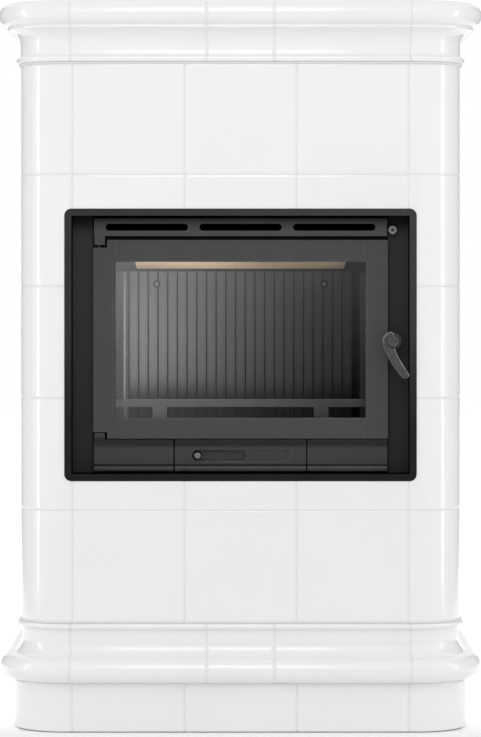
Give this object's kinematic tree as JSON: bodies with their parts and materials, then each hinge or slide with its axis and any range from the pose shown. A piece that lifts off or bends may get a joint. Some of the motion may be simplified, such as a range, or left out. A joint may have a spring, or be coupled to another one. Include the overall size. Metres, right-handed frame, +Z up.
{
  "type": "tiled stove",
  "caption": "White glazed tile stove with moulded base and cornice round a cast-iron wood-burning insert: glass door, comma handle, ash drawer, air slider and flue damper.",
  "frame": {"origin": "on the floor, in the middle of the overall width and depth", "axes": "+Z up, -Y out of the front with the glass door, +X to the right as seen from the front"},
  "size_m": [0.9708, 0.5964, 1.448],
  "materials": {
    "white_glaze": "gloss",
    "grout": "matte",
    "cast_iron": "matte",
    "handle_iron": "satin",
    "black_steel": "satin",
    "steel": "satin",
    "galvanised": "satin",
    "knob_steel": "satin",
    "fireclay": "matte",
    "stove_glass": "gloss",
    "rope_seal": "matte"
  },
  "bodies": {
    "casing": {"air_grille": "cast_iron", "back_liner": "cast_iron", "baffle_plate": "fireclay", "baffle_rails": "steel", "base_moulding_corners": "white_glaze", "base_moulding_front": "white_glaze", "base_moulding_sides": "white_glaze", "base_plate": "cast_iron", "corner_tiles": "white_glaze", "cornice_corners": "white_glaze", "cornice_front": "white_glaze", "cornice_sides": "white_glaze", "damper_rod_guide": "steel", "drawer_runners": "steel", "firebox_back": "cast_iron", "firebox_sides": "cast_iron", "firebox_top": "cast_iron", "flue_collar": "cast_iron", "flue_pipe": "galvanised", "front_plate": "cast_iron", "front_tiles_above": "white_glaze", "front_tiles_below": "white_glaze", "grate": "cast_iron", "hearth_plate": "cast_iron", "hinge_pins": "steel", "infill_left": "black_steel", "infill_right": "black_steel", "insert_stand": "steel", "joint_grout": "grout", "latch_keeper": "black_steel", "liner_bolts": "steel", "log_guard": "cast_iron", "plinth_corners": "white_glaze", "plinth_front": "white_glaze", "plinth_sides": "white_glaze", "rear_panel": "galvanised", "side_liners": "cast_iron", "side_tiles": "white_glaze", "sill_panel_left": "cast_iron", "sill_panel_right": "cast_iron", "stand_feet": "steel", "surround_frame": "black_steel", "tie_rods": "steel", "top_cover": "galvanised"},
    "door": {"door_frame": "cast_iron", "door_glass": "stove_glass", "glass_clips": "steel", "door_gasket": "rope_seal"},
    "handle": {"handle": "handle_iron", "handle_spindle": "handle_iron", "latch_tongue": "steel"},
    "ash_drawer": {"ash_drawer_front": "cast_iron", "ash_pan": "steel", "slider_guides": "steel"},
    "air_slider": {"air_slider": "steel", "air_knob": "knob_steel"},
    "damper_rod": {"damper_rod": "steel", "damper_knob": "knob_steel"},
    "damper_flap": {"damper_flap": "steel", "damper_spindle": "steel"}
  },
  "joints": [
    {"name": "door_hinge", "type": "hinge", "parent": "casing", "child": "door", "pos_m": [-0.2815, -0.21775, 0.777], "axis": [0, 0, -1], "range_deg": [0, 110]},
    {"name": "handle_turn", "type": "hinge", "parent": "door", "child": "handle", "pos_m": [0.302, -0.21775, 0.773], "axis": [0, -1, 0], "range_deg": [0, 80]},
    {"name": "ash_drawer_slide", "type": "slide", "parent": "casing", "child": "ash_drawer", "axis": [0, -1, 0], "range_m": [0, 0.26]},
    {"name": "air_slide", "type": "slide", "parent": "ash_drawer", "child": "air_slider", "axis": [1, 0, 0], "range_m": [0, 0.086]},
    {"name": "damper_pull", "type": "slide", "parent": "casing", "child": "damper_rod", "axis": [0, -1, 0], "range_m": [0, 0.0495]},
    {"name": "damper_turn", "type": "hinge", "parent": "casing", "child": "damper_flap", "pos_m": [0, 0.06125, 1.02417], "axis": [-1, 0, 0], "range_deg": [0, 90]}
  ],
  "couplings": [
    {"joint": "damper_turn", "follows": "damper_pull", "rad_per_m": 31.669}
  ]
}
